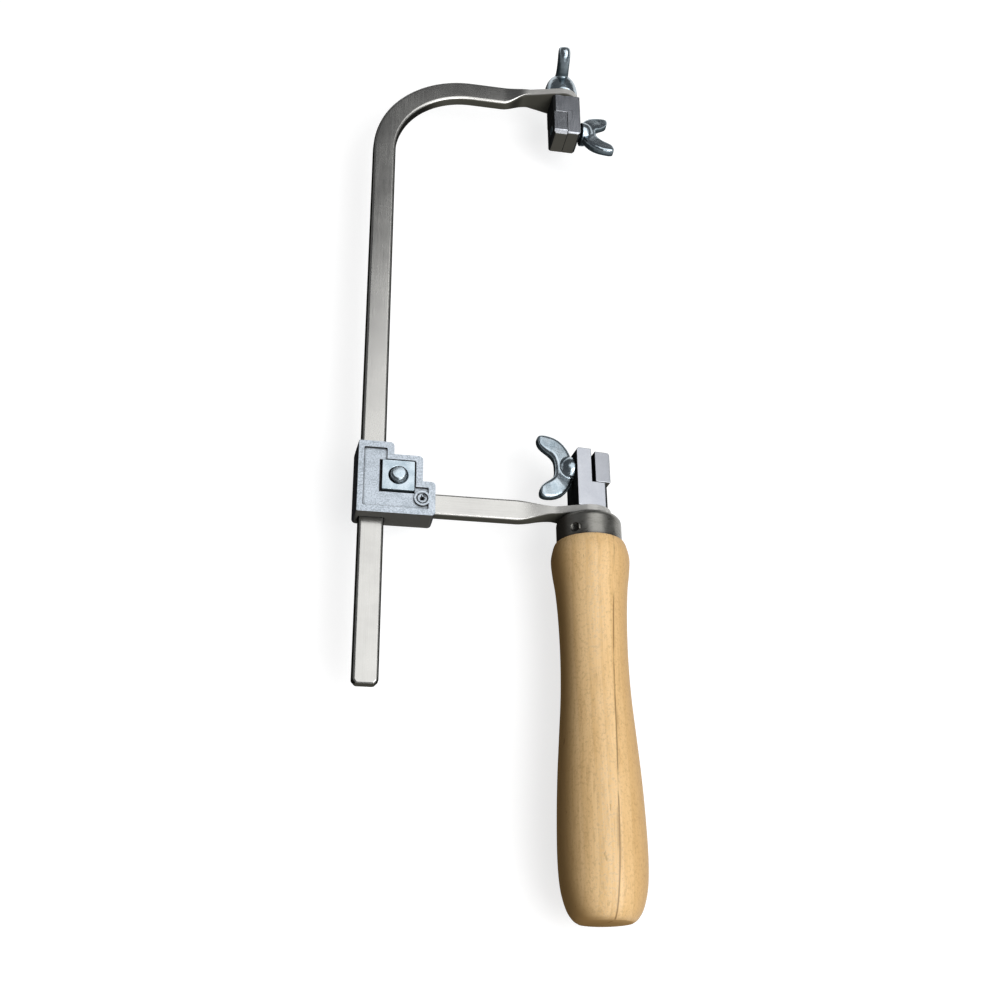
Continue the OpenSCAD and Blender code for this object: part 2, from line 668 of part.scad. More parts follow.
// The turned handle: a spigot in the ferrule, a swell, a waist, a belly and a flat butt
module handle() {
    spigot_r = ferrule_r - ferrule_t - seat_fit;
    spigot_top = -ferrule_top_y + ferrule_t + seat_fit;
    spigot_shoulder_r = ferrule_shoulder_r - ferrule_t;
    rim = -ferrule_rim_y;
    tip = rim + tang_len;
    bore_r = m5_d / 2 + seat_fit;
    last = len(handle_shares) - 1;
    side = [for (i = [0:last - 1], k = [0:handle_steps - 1])
        let (s = through(handle_shares, i, k / handle_steps))
            [s[1] * belly_r, rim + s[0] * handle_len]];
    butt = [handle_shares[last][1] * belly_r, rim + handle_len];
    color("BurlyWood") handle_turned() difference() {
        union() {
            polygon(concat([[0, rim]], side, [butt, [0, rim + handle_len]]));
            turned_cap(spigot_r, spigot_shoulder_r, spigot_top, rim - spigot_top + overrun);
        }
        polygon([[0, spigot_top - overrun], [bore_r, spigot_top - overrun],
                 [bore_r, tip - tang_point], [0, tip + seat_fit]]);
    }
}

bracket_body();
bracket_nut();
bracket_wing_screw();
bracket_washer();
arm_rivet();
spine_bar();
lower_arm();
tension_stud();
tension_wing_nut();
upper_clamp_block();
upper_jaw_plate();
upper_wing_screw();
lower_clamp_block();
lower_jaw_plate();
lower_wing_screw();
handle_tang();
ferrule();
handle();
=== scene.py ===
# Fret saw frame, lying on its back: finishes, softened castings, forged bars and wings
import bpy
import math
from mathutils import Matrix, Vector


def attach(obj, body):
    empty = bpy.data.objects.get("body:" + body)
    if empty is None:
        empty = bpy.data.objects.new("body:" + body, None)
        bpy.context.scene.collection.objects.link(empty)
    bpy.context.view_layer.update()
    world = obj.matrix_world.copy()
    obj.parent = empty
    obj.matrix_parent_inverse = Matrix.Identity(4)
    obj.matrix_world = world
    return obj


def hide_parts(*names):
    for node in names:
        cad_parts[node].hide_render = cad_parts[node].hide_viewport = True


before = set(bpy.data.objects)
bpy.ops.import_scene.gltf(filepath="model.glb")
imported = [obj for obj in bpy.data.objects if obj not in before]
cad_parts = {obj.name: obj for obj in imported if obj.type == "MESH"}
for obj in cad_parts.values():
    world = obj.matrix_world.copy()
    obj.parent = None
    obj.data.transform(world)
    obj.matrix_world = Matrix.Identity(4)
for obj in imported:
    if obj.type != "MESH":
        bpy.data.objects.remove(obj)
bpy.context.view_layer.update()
scene = bpy.context.scene
mm = 0.001
# from the saw's own axes, in mm, to those of the frame that all its files share
rowShift = Vector((-37.445, -30.25, 15.91))
# the clamp bolt's and the rivet's axes, seen from the front
boltPlace = (7.3, 6.5)
rivetPlace = (14.5, -0.6)


# camera, lamps and floor

def at(x, y, z):
    return (Vector((x, y, z)) + rowShift) * mm


shot = {
    "place": (-0.065465, -0.193600, 0.359920),
    "turn": (25.45, -11.01, -0.61),
    "lens": 46.145, "sensor": 36.0, "near": 0.01, "far": 20.0,
}

camData = bpy.data.cameras.new("shotCamera")
camData.lens = shot["lens"]
camData.sensor_width = shot["sensor"]
camData.clip_start = shot["near"]
camData.clip_end = shot["far"]
cam = bpy.data.objects.new("shotCamera", camData)
scene.collection.objects.link(cam)
cam.rotation_mode = "ZXY"
cam.location = shot["place"]
cam.rotation_euler = [math.radians(a) for a in shot["turn"]]
scene.camera = cam

studio = {
    "overheadPlace": (0.28, 0.20, 1.0), "overheadSize": (1.05, 0.88), "overheadPower": 4.7,
    "keyPlace": (0.62, -0.50, 1.1), "keySize": (0.9, 0.9), "keyPower": 11.0,
    "frontPlace": (0.25, -0.85, 0.62), "frontSize": (0.5, 0.45), "frontPower": 1.8,
    "worldLight": 0.12, "worldTint": (0.95, 0.97, 1.0, 1.0),
    "floorSeen": (0.42, 0.42, 0.42), "floorBounce": (0.30, 0.30, 0.30),
    "floorGlow": (0.73, 0.73, 0.73), "floorRoughness": 0.9, "floorSize": 6.0,
    "floorHeight": -0.0002,
}


def softbox(name, place, size, power):
    data = bpy.data.lights.new(name, "AREA")
    data.shape = "RECTANGLE"
    data.size = size[0]
    data.size_y = size[1]
    data.energy = power
    lamp = bpy.data.objects.new(name, data)
    scene.collection.objects.link(lamp)
    lamp.location = place
    aim = Vector((0.0, 0.0, 0.0)) - Vector(place)
    lamp.rotation_mode = "QUATERNION"
    lamp.rotation_quaternion = aim.to_track_quat("-Z", "Y")


softbox("overheadBox", studio["overheadPlace"], studio["overheadSize"], studio["overheadPower"])
softbox("keyBox", studio["keyPlace"], studio["keySize"], studio["keyPower"])
softbox("frontStrip", studio["frontPlace"], studio["frontSize"], studio["frontPower"])

world = bpy.data.worlds.new("studioAir")
world.use_nodes = True
air = world.node_tree.nodes["Background"].inputs
air["Color"].default_value = studio["worldTint"]
air["Strength"].default_value = studio["worldLight"]
scene.world = world
scene.view_settings.view_transform = "Standard"
print("camera and lamps are set")


# shader maths

class Signal:
    def __init__(self, tree, socket=None):
        self.tree = tree
        self.socket = socket

    def node(self, kind, settings=None, inputs=None, output=0):
        made = self.tree.nodes.new(kind)
        for name, value in (settings or {}).items():
            setattr(made, name, value)
        for name, value in (inputs or {}).items():
            target = made.inputs[name]
            if isinstance(value, Signal):
                self.tree.links.new(value.socket, target)
            else:
                target.default_value = value
        return Signal(self.tree, made.outputs[output])

    def math(self, operation, other=None):
        inputs = {0: self} if other is None else {0: self, 1: other}
        return self.node("ShaderNodeMath", {"operation": operation}, inputs)

    def __add__(self, other):
        return self.math("ADD", other)

    def __radd__(self, other):
        return self.math("ADD", other)

    def __sub__(self, other):
        return self.math("SUBTRACT", other)

    def __rsub__(self, other):
        return (self * -1.0) + other

    def __mul__(self, other):
        return self.math("MULTIPLY", other)

    def __rmul__(self, other):
        return self.math("MULTIPLY", other)

    def band(self, low, high):
        # 0 below low, 1 above high, smooth between
        return self.node("ShaderNodeMapRange", {"interpolation_type": "SMOOTHSTEP"},
                         {"Value": self, "From Min": low, "From Max": high})

    def mix(self, a, b):
        # colour a where this mask is 0, b where it is 1
        a, b = [colour if isinstance(colour, Signal) else (*colour, 1.0) for colour in (a, b)]
        return self.node("ShaderNodeMix", {"data_type": "RGBA"}, {0: self, 6: a, 7: b}, 2)


def startFinish(name):
    material = bpy.data.materials.new(name)
    material.use_nodes = True
    tree = material.node_tree
    shader = tree.nodes["Principled BSDF"]
    start = Signal(tree)
    coords = start.node("ShaderNodeTexCoord", output=3)
    return material, shader, start, coords


def feed(shader, **sockets):
    names = {"colour": "Base Color", "roughness": "Roughness", "metallic": "Metallic",
             "coat": "Coat Weight", "coatRoughness": "Coat Roughness", "normal": "Normal",
             "specular": "Specular IOR Level", "glow": "Emission Color",
             "glowStrength": "Emission Strength"}
    for name, value in sockets.items():
        target = shader.inputs[names[name]]
        if isinstance(value, Signal):
            value.tree.links.new(value.socket, target)
        elif isinstance(value, tuple):
            target.default_value = (*value, 1.0)
        else:
            target.default_value = value


def surfaceNormal(start):
    return start.node("ShaderNodeNewGeometry", output=1)


def axisPart(start, vector, k):
    # the vector's x, y or z, as k is 0, 1 or 2
    return start.node("ShaderNodeSeparateXYZ", inputs={0: vector}, output=k)


def stretched(start, coords, scale, turn=(0.0, 0.0, 0.0)):
    return start.node("ShaderNodeMapping", inputs={"Vector": coords, "Scale": scale,
                      "Rotation": tuple(math.radians(a) for a in turn)})


def noise(start, coords, scale, detail=3.0, roughness=0.5):
    return start.node("ShaderNodeTexNoise", inputs={"Vector": coords, "Scale": scale,
                      "Detail": detail, "Roughness": roughness})


def hollows(start, reach):
    # 1 in the open, 0 deep in corners and gaps
    return start.node("ShaderNodeAmbientOcclusion", {"samples": 8}, {"Distance": reach * mm},
                      output=1)


def bump(start, height, strength, distance):
    return start.node("ShaderNodeBump", inputs={"Height": height, "Strength": strength,
                      "Distance": distance})


# bands of the painted shade: where a face counts as flat, as a flank or as a round rim by its
# direction
turnBands = {"flat": (0.45, 0.80), "shadedFlank": (0.34, 0.66), "rim": (0.12, 0.50)}


def turnedAway(start, finish, face, rims=None):
    # painted shade by the surface's direction: the face's colour on what lies flat, painted
    # near-black shade on flanks, painted dark shade on what faces the handle or the top; rims is
    # 1 where round rims stay bright, out of the painted shade
    normal = surfaceNormal(start)
    sideways, frontal = [axisPart(start, normal, k).math("ABSOLUTE") for k in (0, 2)]
    flatMask = frontal.band(*turnBands["flat"])
    shadedFlank = sideways.band(*turnBands["shadedFlank"])
    if rims is not None:
        flatMask = flatMask + (frontal.band(*turnBands["rim"]) - flatMask) * rims
        shadedFlank = shadedFlank * (1 - rims)
    shown = shadedFlank.mix(flatMask.mix(finish["under"], face), finish["shadedFlank"])
    return flatMask * (1 - shadedFlank), shown


# finishes

barFinish = {
    # the two darkest colours are painted shade, for faces that turn toward the handle or the top
    # and for flanks
    "bright": (0.51, 0.505, 0.485), "worn": (0.43, 0.425, 0.41), "under": (0.100, 0.097, 0.080),
    "shadedFlank": (0.018, 0.018, 0.016),
    "roughness": 0.255, "spread": 0.12, "drawLines": 2600.0, "blotches": 55.0, "grain": 3800.0,
    "tone": (0.35, 0.65), "relief": (0.15, 0.00003), "eyeMatt": 0.8,
    "bend": (-0.030, -0.012),    # where the drawing lines turn, in m in the shared frame
    "eyes": (47.0, 52.0),    # where the eyes' round rims start, in mm from the spine's axis
}


def barSteel():
    material, shader, start, coords = startFinish("satinBarSteel")
    alongSpine = noise(start, stretched(start, coords, (1.0, 0.03, 1.0)), barFinish["drawLines"])
    alongArm = noise(start, stretched(start, coords, (0.03, 1.0, 1.0)), barFinish["drawLines"])
    place = axisPart(start, coords, 0)
    bendMask = place.band(*barFinish["bend"])
    lines = alongSpine + (alongArm - alongSpine) * bendMask
    blotch = noise(start, coords, barFinish["blotches"], 4.0, 0.6)
    grain = noise(start, coords, barFinish["grain"], 2.0)
    tone = (blotch * 0.7 + lines * 0.3).band(*barFinish["tone"])
    face = tone.mix(barFinish["worn"], barFinish["bright"])
    eyes = place.band(*[at(x, 0.0, 0.0).x for x in barFinish["eyes"]])
    # painted shade on flanks and on faces toward the handle or the top, but not on the eyes'
    # round rims
    flatMask, colour = turnedAway(start, barFinish, face, eyes)
    rough = (blotch - 0.5) * barFinish["spread"] + (lines - 0.5) * 0.10 + barFinish["roughness"]
    relief = lines * 0.5 + grain * 0.5
    metal = flatMask * (1 - eyes * barFinish["eyeMatt"])
    feed(shader, colour=colour, roughness=rough, metallic=metal, specular=0.0,
         normal=bump(start, relief, *barFinish["relief"]))
    return material


castFinish = {
    # the three darkest colours are painted shade: on faces toward the handle or the top, on
    # flanks, and in corners and gaps
    "pale": (0.63, 0.69, 0.76), "dark": (0.39, 0.44, 0.49), "under": (0.125, 0.122, 0.112),
    "shadedFlank": (0.055, 0.055, 0.062), "cornerShade": (0.03, 0.03, 0.032),
    "roughness": 0.42, "metal": 0.94, "grain": 2500.0, "mottle": 260.0, "pits": 1500.0,
    "tone": (0.42, 0.57), "corners": (0.45, 0.98), "relief": (0.75, 0.00012),
}


def castZinc():
    material, shader, start, coords = startFinish("castZinc")
    grain = noise(start, coords, castFinish["grain"], 3.0, 0.65)
    mottle = noise(start, coords, castFinish["mottle"], 3.0, 0.55)
    pits = start.node("ShaderNodeTexVoronoi",
                      inputs={"Vector": coords, "Scale": castFinish["pits"]})
    tone = (grain * 0.8 + mottle * 0.2).band(*castFinish["tone"])
    face = tone.mix(castFinish["dark"], castFinish["pale"])
    # painted shade on flanks and on faces toward the handle or the top
    flatMask, colour = turnedAway(start, castFinish, face)
    # painted shade in corners and gaps
    colour = hollows(start, 1.0).band(*castFinish["corners"]).mix(castFinish["cornerShade"], colour)
    rough = (grain - 0.5) * 0.3 + castFinish["roughness"]
    relief = grain * 0.7 + pits * 0.3
    feed(shader, colour=colour, roughness=rough, metallic=flatMask * castFinish["metal"],
         specular=0.0, normal=bump(start, relief, *castFinish["relief"]))
    return material


plateFinish = {
    # painted light and shade: the side colour is painted shade on the sides, the first colour on
    # the next line painted light on the bolt's thread, the last one painted shade in corners and
    # gaps
    "bright": (0.47, 0.54, 0.59), "shade": (0.32, 0.39, 0.44), "side": (0.050, 0.066, 0.074),
    "paintedLight": (0.42, 0.50, 0.54), "cornerShade": (0.02, 0.024, 0.026),
    "roughness": 0.24, "ripple": 330.0, "specks": 2400.0, "tone": (0.35, 0.62),
    "flat": (0.20, 0.62), "metal": (0.22, 0.64), "corners": (0.10, 0.80),
    "relief": (0.35, 0.00016),
    "boltEdge": (0.0000085, 0.0000095),    # square of the distance from the bolt's axis, in m
}


def zincPlate():
    material, shader, start, coords = startFinish("brightZincPlate")
    ripple = noise(start, coords, plateFinish["ripple"], 2.0, 0.45)
    specks = noise(start, coords, plateFinish["specks"], 2.0, 0.6)
    tone = (ripple * 0.6 + specks * 0.4).band(*plateFinish["tone"])
    colour = tone.mix(plateFinish["shade"], plateFinish["bright"])
    normal = surfaceNormal(start)
    flat = axisPart(start, normal, 2).math("ABSOLUTE")
    # painted shade: the sides are darker than the faces
    colour = flat.band(*plateFinish["flat"]).mix(plateFinish["side"], colour)
    # painted light: the bolt's thread is lighter on the side that faces the lamps
    bolt = at(*boltPlace, 0.0)
    offX = axisPart(start, coords, 0) - bolt.x
    offY = axisPart(start, coords, 1) - bolt.y
    nearBolt = 1 - (offX * offX + offY * offY).band(*plateFinish["boltEdge"])
    facing = axisPart(start, normal, 0) * 0.8 - axisPart(start, normal, 1) * 0.6
    paintedLight = nearBolt * (facing.band(0.0, 0.7) * (1 - flat.band(0.4, 0.7)))
    colour = paintedLight.mix(colour, plateFinish["paintedLight"])
    # painted shade in corners and gaps, kept off the painted light
    unshaded = hollows(start, 1.0).band(*plateFinish["corners"]).math("MAXIMUM", paintedLight)
    colour = unshaded.mix(plateFinish["cornerShade"], colour)
    rough = (specks - 0.5) * 0.16 + plateFinish["roughness"]
    relief = ripple * 0.8 + specks * 0.2
    feed(shader, colour=colour, roughness=rough, metallic=flat.band(*plateFinish["metal"]),
         specular=0.0, normal=bump(start, relief, *plateFinish["relief"]))
    return material


clampFinish = {
    # the two darkest colours are painted shade, for faces that turn toward the handle or the top
    # and for flanks
    "pale": (0.44, 0.455, 0.49), "grey": (0.37, 0.385, 0.42), "under": (0.115, 0.110, 0.094),
    "shadedFlank": (0.026, 0.027, 0.028),
    "roughness": 0.225, "brushLines": 3000.0, "cloud": 170.0, "grain": 3600.0,
    "tone": (0.30, 0.70), "relief": (0.12, 0.00004),
}


def clampSteel(name, share):
    # share scales the colour's lightness, 1 on the blocks and less on the loose plates
    material, shader, start, coords = startFinish(name)
    brush = noise(start, stretched(start, coords, (1.0, 0.05, 1.0)), clampFinish["brushLines"])
    cloud = noise(start, coords, clampFinish["cloud"], 3.0, 0.6)
    grain = noise(start, coords, clampFinish["grain"], 2.0)
    tone = (cloud * 0.7 + brush * 0.3).band(*clampFinish["tone"])
    grey, pale = [tuple(c * share for c in clampFinish[shade]) for shade in ("grey", "pale")]
    face = tone.mix(grey, pale)
    # painted shade on flanks and on faces toward the handle or the top
    flatMask, colour = turnedAway(start, clampFinish, face)
    rough = (brush - 0.5) * 0.2 + (cloud - 0.5) * 0.08 + clampFinish["roughness"]
    feed(shader, colour=colour, roughness=rough, metallic=flatMask, specular=0.0,
         normal=bump(start, brush * 0.5 + grain * 0.5, *clampFinish["relief"]))
    return material


ferruleFinish = {
    # painted shade: pit is the dark of the punch mark's hollow, away the dark of the side turned
    # from the key lamp
    "dark": (0.175, 0.171, 0.156), "light": (0.27, 0.265, 0.246), "pitShade": (0.010, 0.009, 0.008),
    "away": (0.050, 0.045, 0.038), "roughness": 0.30, "metal": 0.85, "cloud": 210.0,
    "fine": 3000.0, "tone": (0.36, 0.62), "corners": (0.62, 0.97), "facing": (-0.30, 0.45),
    "relief": (0.2, 0.00004),
}


def ferruleSteel():
    material, shader, start, coords = startFinish("gunmetalFerrule")
    cloud = noise(start, coords, ferruleFinish["cloud"], 4.0, 0.6)
    fine = noise(start, stretched(start, coords, (0.25, 1.0, 0.25)), ferruleFinish["fine"], 2.0)
    tone = (cloud * 0.7 + fine * 0.3).band(*ferruleFinish["tone"])
    colour = tone.mix(ferruleFinish["dark"], ferruleFinish["light"])
    rough = (cloud - 0.5) * 0.14 + (fine - 0.5) * 0.12 + ferruleFinish["roughness"]
    # painted shade in the punch mark's hollow and other corners
    corners = hollows(start, 2.6).band(*ferruleFinish["corners"])
    colour = corners.mix(ferruleFinish["pitShade"], colour)
    # painted shade on the side turned from the key lamp, which is also less metallic
    normal = surfaceNormal(start)
    frontal = axisPart(start, normal, 2).math("ABSOLUTE")
    facing = (axisPart(start, normal, 0) * 0.8 + frontal).band(*ferruleFinish["facing"])
    colour = facing.mix(ferruleFinish["away"], colour)
    feed(shader, colour=colour, roughness=rough, metallic=facing * ferruleFinish["metal"],
         specular=0.0, normal=bump(start, fine, *ferruleFinish["relief"]))
    return material


woodFinish = {
    # painted light among these colours: tan on the right side and turned on the left side and
    # the butt's end are painted shade, shine is a painted highlight
    "pale": (0.92, 0.635, 0.325), "honey": (0.77, 0.50, 0.225), "vein": (0.38, 0.21, 0.08),
    "speck": (0.20, 0.105, 0.04), "rightShade": (0.60, 0.375, 0.158), "turned": (0.40, 0.24, 0.095),
    "paintedHighlight": (0.93, 0.72, 0.46), "shineFrom": -0.12, "shineWidth": 0.50, "shineShare": 0.6,
    "roughness": 0.45, "varnish": 0.35, "varnishRoughness": 0.24, "relief": (0.22, 0.00008),
    "lineFrom": (72.0, -20.0), "lineTilt": 0.0325, "lineWidth": 0.42, "smudgeWidth": 1.3,
    "lineShare": 0.8, "smudgeShare": 0.55,
    "frontBand": (0.016, 0.019), "wander": 0.0035,    # the front's height and the wander, in m
    "fibre": 2400.0, "pores": 1150.0, "grit": 1500.0, "gritShare": 0.32, "specks": 700.0,
    "cloud": 75.0, "tone": (0.30, 0.66), "facing": (-0.60, 0.42),
}


def varnishedWood():
    material, shader, start, coords = startFinish("varnishedWood")
    w = woodFinish
    wander = noise(start, stretched(start, coords, (1.0, 0.12, 1.0)), 60.0, 2.0)
    waves = start.node("ShaderNodeTexNoise", inputs={
        "Vector": stretched(start, coords, (1.0, 0.2, 1.0)), "Scale": 40.0, "Detail": 2.0},
        output=1)
    bent = start.node("ShaderNodeVectorMath", {"operation": "SCALE"},
                      {0: waves, "Scale": w["wander"]})
    moved = start.node("ShaderNodeVectorMath", {"operation": "ADD"}, {0: coords, 1: bent})
    # growth rings run along the handle, tipped a little from its axis
    rings = start.node("ShaderNodeTexWave", {"wave_type": "BANDS", "bands_direction": "X",
                       "wave_profile": "SAW"},
                       {"Vector": stretched(start, moved, (1.0, 0.02, 0.35), (0.0, 0.0, 1.2)),
                        "Scale": 95.0, "Distortion": 1.2, "Detail": 2.0, "Detail Scale": 1.2},
                       output=1)
    fibre = noise(start, stretched(start, moved, (1.0, 0.02, 1.0)), w["fibre"], 3.0, 0.6)
    pores = noise(start, stretched(start, moved, (1.0, 0.14, 1.0)), w["pores"], 2.0, 0.5)
    cloud = noise(start, stretched(start, coords, (1.0, 0.35, 1.0)), w["cloud"], 3.0)
    tone = (rings * 0.16 + fibre * 0.42 + cloud * 0.42).band(*w["tone"])
    ground = tone.mix(w["honey"], w["pale"])
    veins = rings.band(0.90, 0.99) * 0.16
    poreMask = pores.band(0.55, 0.75) * 0.20
    grit = noise(start, stretched(start, coords, (1.0, 0.75, 1.0)), w["grit"], 3.0, 0.75)
    specks = noise(start, stretched(start, coords, (1.0, 0.4, 1.0)), w["specks"], 1.0)
    # one dark line of grain down the front, a little crooked, with smudges beside it
    across = axisPart(start, moved, 0)
    along = axisPart(start, coords, 1)
    front = axisPart(start, coords, 2)
    lineFrom = at(*w["lineFrom"], 0.0)
    aside = (across - lineFrom.x - (along - lineFrom.y) * w["lineTilt"]).math("ABSOLUTE")
    broken = noise(start, stretched(start, coords, (1.0, 0.25, 1.0)), 210.0, 2.0)
    line = (1 - aside.band(0.0, w["lineWidth"] * mm)) * broken.band(0.36, 0.52) * w["lineShare"]
    smudge = (1 - aside.band(0.0, w["smudgeWidth"] * mm)) * broken.band(0.56, 0.70)
    line = line.math("MAXIMUM", smudge * w["smudgeShare"]) * front.band(*w["frontBand"])
    normal = surfaceNormal(start)
    sideways = axisPart(start, normal, 0)
    frontal = axisPart(start, normal, 2).math("ABSOLUTE")
    endways = axisPart(start, normal, 1)
    # painted shade: the left side and the butt's end go to the turned colour, darker
    facing = (sideways * 0.8 + endways * 0.6 + frontal).band(*w["facing"])
    # painted shade: the right side goes to a darker tan
    ground = sideways.band(0.10, 0.90).mix(ground, w["rightShade"])
    # a painted highlight, long, on the left of the middle, broken up by the wood's grit
    besideShine = (sideways - w["shineFrom"]).math("ABSOLUTE")
    paintedHighlight = (1 - besideShine.band(0.0, w["shineWidth"])) * grit.band(0.44, 0.62)
    ground = (paintedHighlight * cloud.band(0.35, 0.60) * w["shineShare"]).mix(ground, w["paintedHighlight"])
    ground = (grit.band(0.48, 0.66) * w["gritShare"]).mix(ground, w["vein"])
    colour = facing.mix(w["turned"], ground)
    for mask, tint in ((veins, "vein"), (poreMask, "vein"),
                       (specks.band(0.74, 0.79) * 0.35, "speck"), (line, "speck")):
        colour = mask.mix(colour, w[tint])
    rough = (fibre - 0.5) * 0.2 + (wander - 0.5) * 0.1 + w["roughness"]
    feed(shader, colour=colour, roughness=rough, metallic=0.0, specular=0.0,
         coat=facing.band(0.5, 1.0) * w["varnish"], coatRoughness=w["varnishRoughness"],
         normal=bump(start, fibre * 0.5 + grit * 0.5, *w["relief"]))
    return material


def floorPaint():
    # white where it is seen or mirrored, with the saw's shadow; darker for the light it throws
    material, shader, start = startFinish("studioFloor")[:3]
    # outputs 0, 3 and 6 tell the camera's, the mirrored and the transmitted rays
    seen = start.node("ShaderNodeLightPath", output=0)
    for ray in (3, 6):
        seen = seen.math("MAXIMUM", start.node("ShaderNodeLightPath", output=ray))
    feed(shader, colour=seen.mix(studio["floorBounce"], studio["floorSeen"]), specular=0.0,
         roughness=studio["floorRoughness"], glow=seen.mix((0.0, 0.0, 0.0), studio["floorGlow"]),
         glowStrength=1.0)
    return material


finishes = {
    "barSteel": barSteel(), "castZinc": castZinc(), "zincPlate": zincPlate(),
    "clampSteel": clampSteel("satinClampSteel", 1.0),
    "plateSteel": clampSteel("satinPlateSteel", 0.78), "ferruleSteel": ferruleSteel(),
    "wood": varnishedWood(), "floor": floorPaint(),
}
print("finishes are mixed:", ", ".join(finishes))


# bench tools

mergeGap = 0.000002    # points nearer than this are one


def clearSelection():
    if bpy.context.mode != "OBJECT":
        bpy.ops.object.mode_set(mode="OBJECT")
    bpy.ops.object.select_all(action="DESELECT")


def pick(obj):
    clearSelection()
    obj.select_set(True)
    bpy.context.view_layer.objects.active = obj


def edit(obj):
    pick(obj)
    bpy.ops.object.mode_set(mode="EDIT")


def leave():
    bpy.ops.object.mode_set(mode="OBJECT")


def settle(obj):
    # the piece's place goes into its mesh, so its patterns ride with it
    pick(obj)
    bpy.ops.object.transform_apply(location=True, rotation=True, scale=True)


def applyAll(obj):
    pick(obj)
    for modifier in list(obj.modifiers):
        bpy.ops.object.modifier_apply(modifier=modifier.name)


def smooth(obj, angle=35.0):
    pick(obj)
    bpy.ops.object.shade_smooth_by_angle(angle=math.radians(angle))


def flatFaces(obj, angle):
    # wide faces keep their own direction, so only the narrow rims are shaded round
    smooth(obj, angle)
    modifier = obj.modifiers.new("weigh", "WEIGHTED_NORMAL")
    modifier.weight = 90
    modifier.keep_sharp = True
    applyAll(obj)


def tidyNormals(obj):
    edit(obj)
    bpy.ops.mesh.select_all(action="SELECT")
    bpy.ops.mesh.remove_doubles(threshold=mergeGap)
    bpy.ops.mesh.normals_make_consistent(inside=False)
    leave()


def joined(main, *others):
    pick(main)
    for other in others:
        other.select_set(True)
    bpy.ops.object.join()
    return bpy.context.view_layer.objects.active


def cutAway(obj, cutter):
    modifier = obj.modifiers.new("cut", "BOOLEAN")
    modifier.operation = "DIFFERENCE"
    modifier.solver = "EXACT"
    modifier.object = cutter
    pick(obj)
    bpy.ops.object.modifier_apply(modifier=modifier.name)
    bpy.data.objects.remove(cutter, do_unlink=True)


def drill(obj, radius, depth, place, turn=0.0, sides=64):
    # a round hole, its axis along Z, or tipped from it about X
    bpy.ops.mesh.primitive_cylinder_add(vertices=sides, radius=radius * mm, depth=depth * mm,
                                        location=place, rotation=(turn, 0.0, 0.0))
    cutAway(obj, bpy.context.active_object)


def soften(obj, width, segments, angle):
    modifier = obj.modifiers.new("soften", "BEVEL")
    modifier.width = width * mm
    modifier.segments = segments
    modifier.limit_method = "ANGLE"
    modifier.angle_limit = math.radians(angle)
    applyAll(obj)
    flatFaces(obj, 40.0)


def finishPiece(obj, name, body, finish, *nodes):
    settle(obj)
    obj.name = name
    obj.data.name = name
    obj.data.materials.clear()
    obj.data.materials.append(finishes[finish])
    if nodes:
        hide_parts(*nodes)
    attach(obj, body)
    print("made", name, len(obj.data.polygons), "faces")


class Growth:
    # a face that is extruded from station to station, each with its own size
    def __init__(self, centre, size):
        self.centre = Vector(centre)
        self.size = Vector(size)

    def to(self, centre, size):
        centre = Vector(centre)
        size = Vector(size)
        bpy.ops.mesh.extrude_region_move(
            TRANSFORM_OT_translate={"value": tuple(centre - self.centre)})
        factor = tuple(b / a for a, b in zip(self.size, size))
        if factor != (1.0, 1.0, 1.0):
            bpy.ops.transform.resize(value=factor, center_override=tuple(centre))
        self.centre = centre
        self.size = size


def blend(a, b, u):
    # from a to b while u goes from 0 to 1, slow at both ends
    return a + (b - a) * (1.0 - math.cos(math.pi * min(max(u, 0.0), 1.0))) / 2.0


def drawnRings(axisX, rings, sides):
    # a disc that is drawn down the handle's axis, through rings of a depth and a radius
    depth, radius = rings[0]
    bpy.ops.mesh.primitive_circle_add(
        vertices=sides, radius=radius * mm, fill_type="NGON",
        location=at(axisX, -depth, 0.0), rotation=(math.pi / 2, 0.0, 0.0))
    obj = bpy.context.active_object
    edit(obj)
    bpy.ops.mesh.select_all(action="SELECT")
    growth = Growth(at(axisX, -depth, 0.0), (radius * mm, 1.0, radius * mm))
    for depth, radius in rings[1:]:
        growth.to(at(axisX, -depth, 0.0), (radius * mm, 1.0, radius * mm))
    leave()
    tidyNormals(obj)
    return obj


# bars

barShape = {
    "spineWidth": 7.6, "armWidth": 6.9, "thickness": 3.9, "edgeRound": 0.8, "edgeSteps": 5,
    "tail": -56.5, "bendRadius": 30.0, "bendSteps": 36, "rise": 162.0,
    # way up from the tail's end, and what is off the width and off the thickness there
    "tailSteps": ((0.0, 2.0, 0.6), (0.3, 1.5, 0.0), (1.0, 0.2, 0.0), (1.3, 0.0, 0.0)),
    "spineStops": (-30.0, 0.0, 40.0, 80.0, 110.0), "armStops": (12.0, 18.0, 30.0, 40.0),
    "upperStop": 36.0, "armRoot": 4.26,
    "forgeSteps": 16, "tongueThickness": 2.6, "tongueWidth": 7.0,
    "eyeAngles": range(64, 176, 8), "eyeEnd": 0.9993, "eyeBore": 2.58, "rivetBore": 1.62,
}
upperEnd = {"reach": 62.8, "axis": 162.0, "lift": 1.6, "eye": 6.2, "run": 10.0, "tongue": 11.8}
lowerEnd = {"reach": 66.25, "axis": -0.3, "lift": 0.2, "eye": 7.0, "run": 12.0, "tongue": 10.8}


